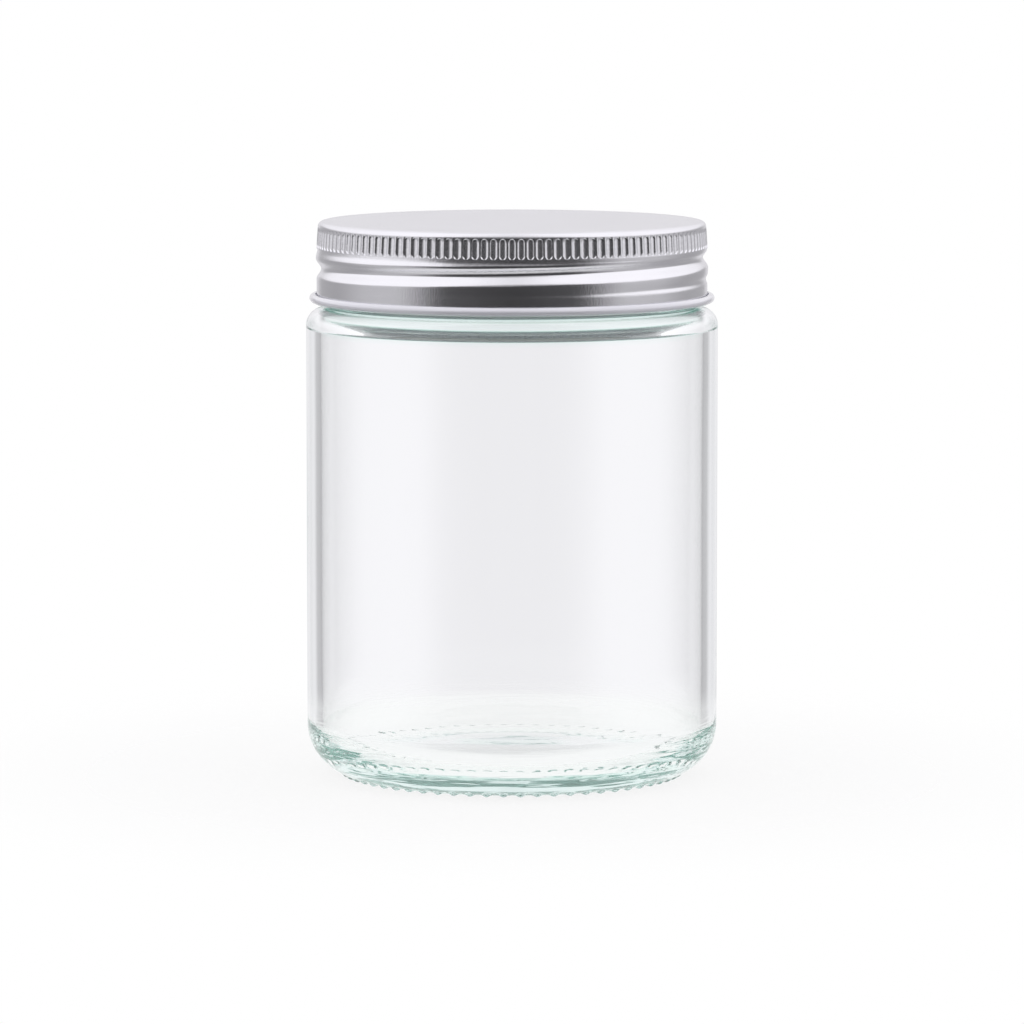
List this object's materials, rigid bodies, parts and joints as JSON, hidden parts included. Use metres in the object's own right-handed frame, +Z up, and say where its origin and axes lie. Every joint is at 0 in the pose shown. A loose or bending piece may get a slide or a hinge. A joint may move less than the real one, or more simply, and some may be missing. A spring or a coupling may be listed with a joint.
{
  "type": "glass jar with screw cap",
  "caption": "Straight-sided clear glass storage jar with a fluted screw cap of rolled aluminium and a sealing disc.",
  "frame": {"origin": "middle of the base, on the surface that the jar stands on", "axes": "+Z up along the axis of the jar and of its cap; -Y is the front of the picture"},
  "size_m": [0.074, 0.074, 0.1],
  "materials": {
    "clear_glass": "clear, polished, faint green tint",
    "satin_aluminium": "satin sheet, white lacquer inside and on the curled edge",
    "white_foam": "matte foam"
  },
  "bodies": {
    "jar": {"jar_body": "clear_glass"},
    "liner": {"cap_liner": "white_foam"},
    "cap": {"cap_shell": "satin_aluminium"}
  },
  "joints": [
    {"name": "cap_rise", "type": "slide", "parent": "jar", "child": "liner", "axis": [0, 0, 1], "range_m": [0, 0.015]},
    {"name": "cap_unscrew", "type": "hinge", "parent": "liner", "child": "cap", "pos_m": [0, 0, 0.1], "axis": [0, 0, 1], "range_deg": [0, 1260]}
  ],
  "couplings": [
    {"joint": "cap_rise", "follows": "cap_unscrew", "m_per_rad": 0.00067376}
  ]
}
